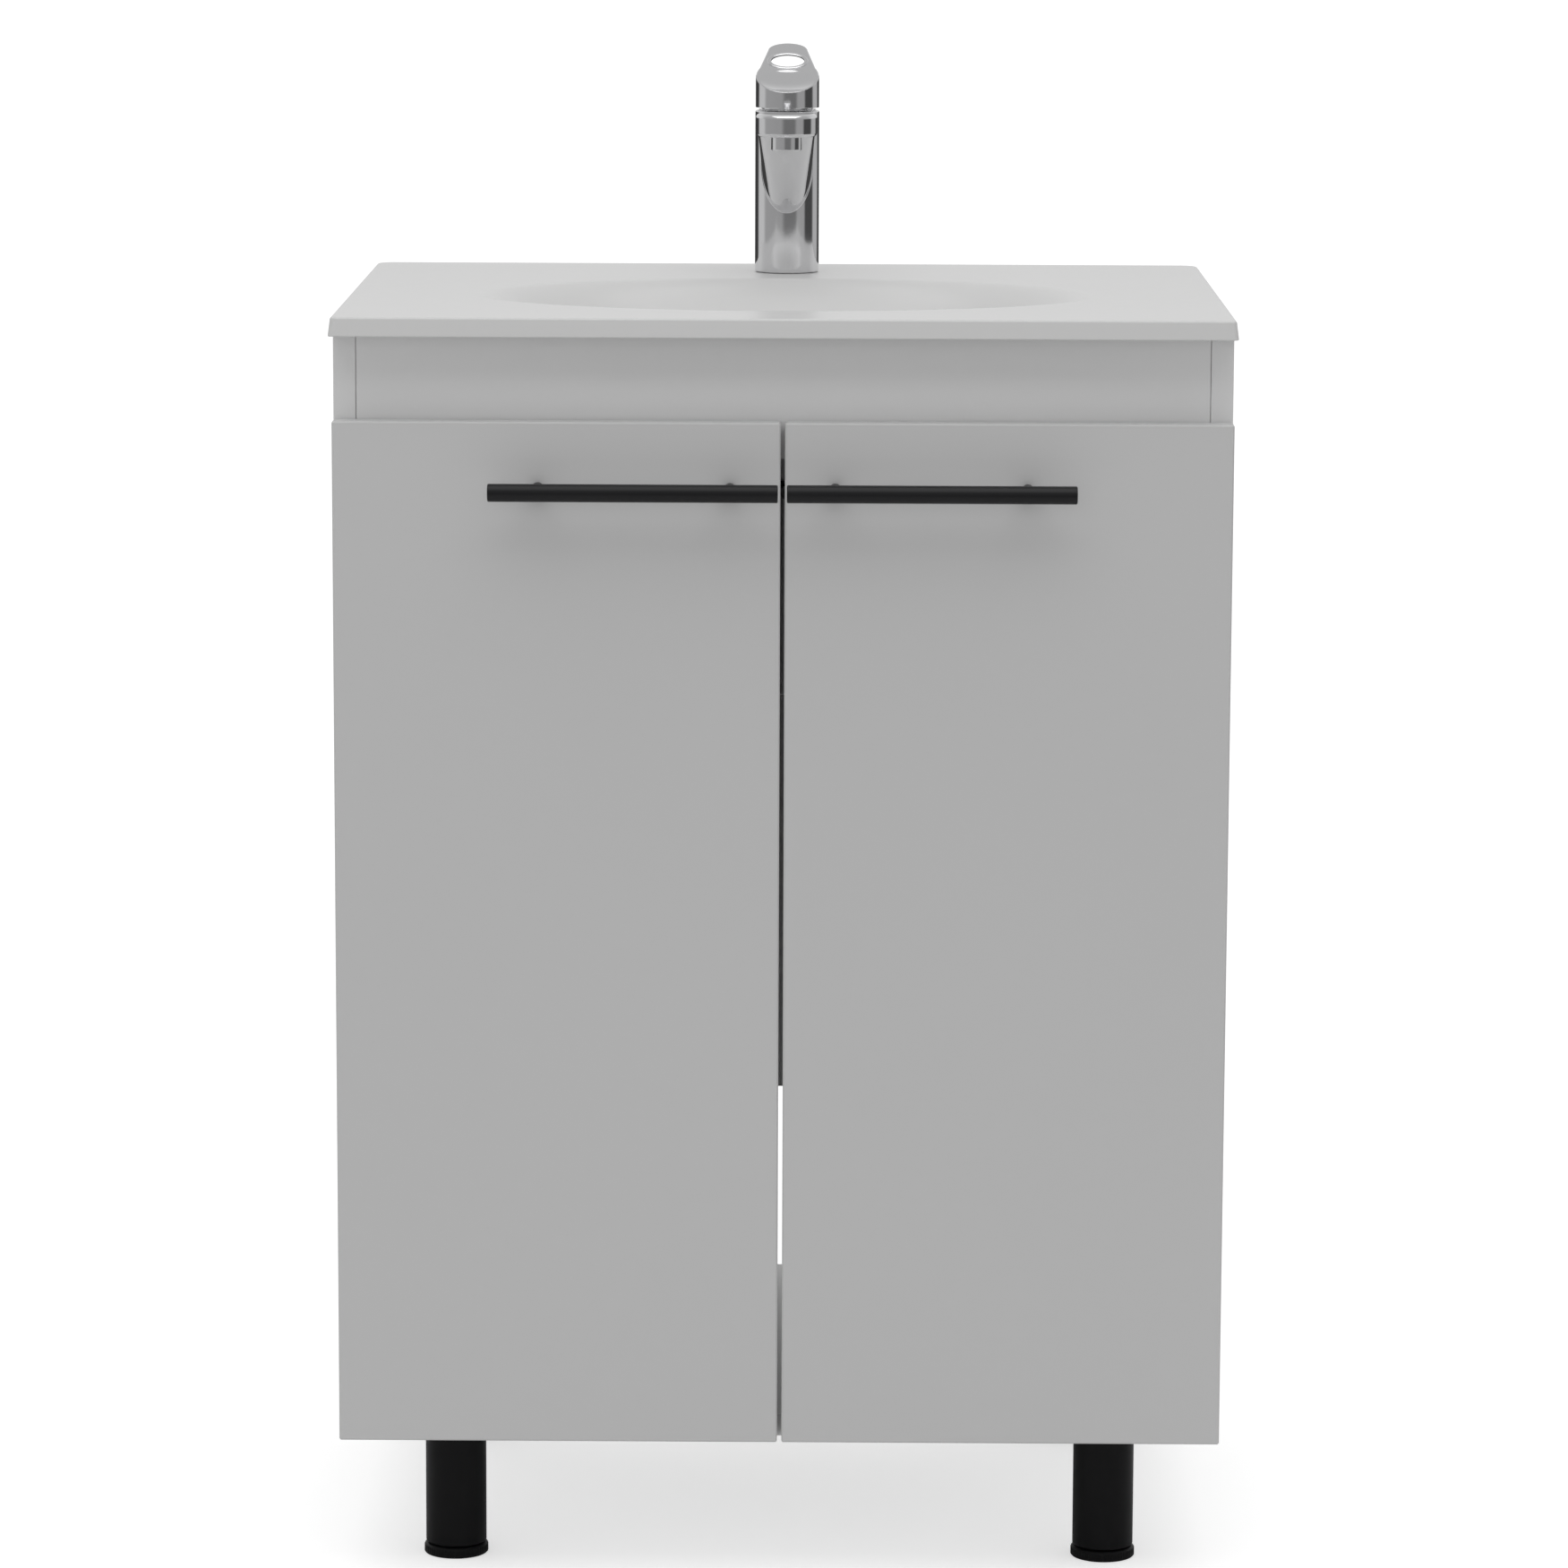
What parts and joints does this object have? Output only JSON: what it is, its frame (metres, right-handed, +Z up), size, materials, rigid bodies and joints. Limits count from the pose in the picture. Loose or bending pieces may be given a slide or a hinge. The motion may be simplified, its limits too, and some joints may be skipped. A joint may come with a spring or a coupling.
{
  "type": "bathroom vanity cabinet",
  "caption": "Floor-standing bathroom vanity with slab doors, round legs, bar handles, moulded basin top and single-lever faucet.",
  "frame": {"origin": "centre of the object's footprint box on the floor", "axes": "+X to the viewer's right, +Y from the doors to the wall, +Z up"},
  "size_m": [0.603, 0.485, 1.0303],
  "materials": {
    "board": "white melamine-faced particle board, satin",
    "door": "off-white satin foil on fibreboard",
    "washtop": "white satin glaze",
    "handle_black": "black satin powder coat",
    "leg_black": "black moulded, satin",
    "chrome": "polished chrome plate",
    "nickel": "nickel-plated pressed steel",
    "brass": "plain turned brass",
    "rubber": "black moulded rubber",
    "grey_plastic": "grey moulded"
  },
  "bodies": {
    "carcass": {"side_panel_left": "board", "side_panel_right": "board", "bottom_panel": "board", "front_rail": "board", "back_panel": "board", "washtop": "washtop", "faucet_body": "chrome", "faucet_aerator": "chrome", "faucet_shank": "brass", "faucet_washer": "rubber", "faucet_nut": "brass", "faucet_inlet_hot": "brass", "faucet_inlet_cold": "brass", "drain_flange": "chrome", "drain_gasket": "rubber", "drain_nut": "grey_plastic", "drain_tailpiece": "chrome", "leg_plate_front_left": "leg_black", "leg_tube_front_left": "leg_black", "leg_plate_front_right": "leg_black", "leg_tube_front_right": "leg_black", "leg_plate_rear_left": "leg_black", "leg_tube_rear_left": "leg_black", "leg_plate_rear_right": "leg_black", "leg_tube_rear_right": "leg_black", "hinge_plate_left_lower": "nickel", "hinge_arm_left_lower": "nickel", "hinge_plate_left_upper": "nickel", "hinge_arm_left_upper": "nickel", "hinge_plate_right_lower": "nickel", "hinge_arm_right_lower": "nickel", "hinge_plate_right_upper": "nickel", "hinge_arm_right_upper": "nickel"},
    "door_left": {"door_left": "door", "handle_bar_left": "handle_black", "handle_post_left_inner": "handle_black", "handle_post_left_outer": "handle_black", "hinge_cup_left_lower": "nickel", "hinge_pin_left_lower": "nickel", "hinge_cup_left_upper": "nickel", "hinge_pin_left_upper": "nickel"},
    "door_right": {"door_right": "door", "handle_bar_right": "handle_black", "handle_post_right_inner": "handle_black", "handle_post_right_outer": "handle_black", "hinge_cup_right_lower": "nickel", "hinge_pin_right_lower": "nickel", "hinge_cup_right_upper": "nickel", "hinge_pin_right_upper": "nickel"},
    "faucet_stem": {"faucet_stem": "chrome"},
    "faucet_handle": {"faucet_handle": "chrome"},
    "drain_stopper": {"drain_stopper": "chrome"},
    "foot_front_left": {"leg_foot_front_left": "leg_black"},
    "foot_front_right": {"leg_foot_front_right": "leg_black"},
    "foot_rear_left": {"leg_foot_rear_left": "leg_black"},
    "foot_rear_right": {"leg_foot_rear_right": "leg_black"}
  },
  "joints": [
    {"name": "door_left_hinge", "type": "hinge", "parent": "carcass", "child": "door_left", "pos_m": [-0.2925, -0.2013, 0.449], "axis": [0, 0, -1], "range_deg": [0, 100]},
    {"name": "door_right_hinge", "type": "hinge", "parent": "carcass", "child": "door_right", "pos_m": [0.2925, -0.2013, 0.449], "axis": [0, 0, 1], "range_deg": [0, 100]},
    {"name": "faucet_swivel", "type": "hinge", "parent": "carcass", "child": "faucet_stem", "pos_m": [0, 0.1725, 0.984], "axis": [0, 0, 1], "range_deg": [-45, 45]},
    {"name": "faucet_lift", "type": "hinge", "parent": "faucet_stem", "child": "faucet_handle", "pos_m": [0, 0.1725, 0.984], "axis": [-1, 0, 0], "range_deg": [0, 18]},
    {"name": "drain_stopper_lift", "type": "slide", "parent": "carcass", "child": "drain_stopper", "axis": [0, 0, 1], "range_m": [0, 0.009]},
    {"name": "foot_front_left_turn", "type": "hinge", "parent": "carcass", "child": "foot_front_left", "pos_m": [-0.225, -0.1295, 0], "axis": [0, 0, 1], "continuous": true},
    {"name": "foot_front_right_turn", "type": "hinge", "parent": "carcass", "child": "foot_front_right", "pos_m": [0.225, -0.1295, 0], "axis": [0, 0, 1], "continuous": true},
    {"name": "foot_rear_left_turn", "type": "hinge", "parent": "carcass", "child": "foot_rear_left", "pos_m": [-0.225, 0.1845, 0], "axis": [0, 0, 1], "continuous": true},
    {"name": "foot_rear_right_turn", "type": "hinge", "parent": "carcass", "child": "foot_rear_right", "pos_m": [0.225, 0.1845, 0], "axis": [0, 0, 1], "continuous": true}
  ]
}
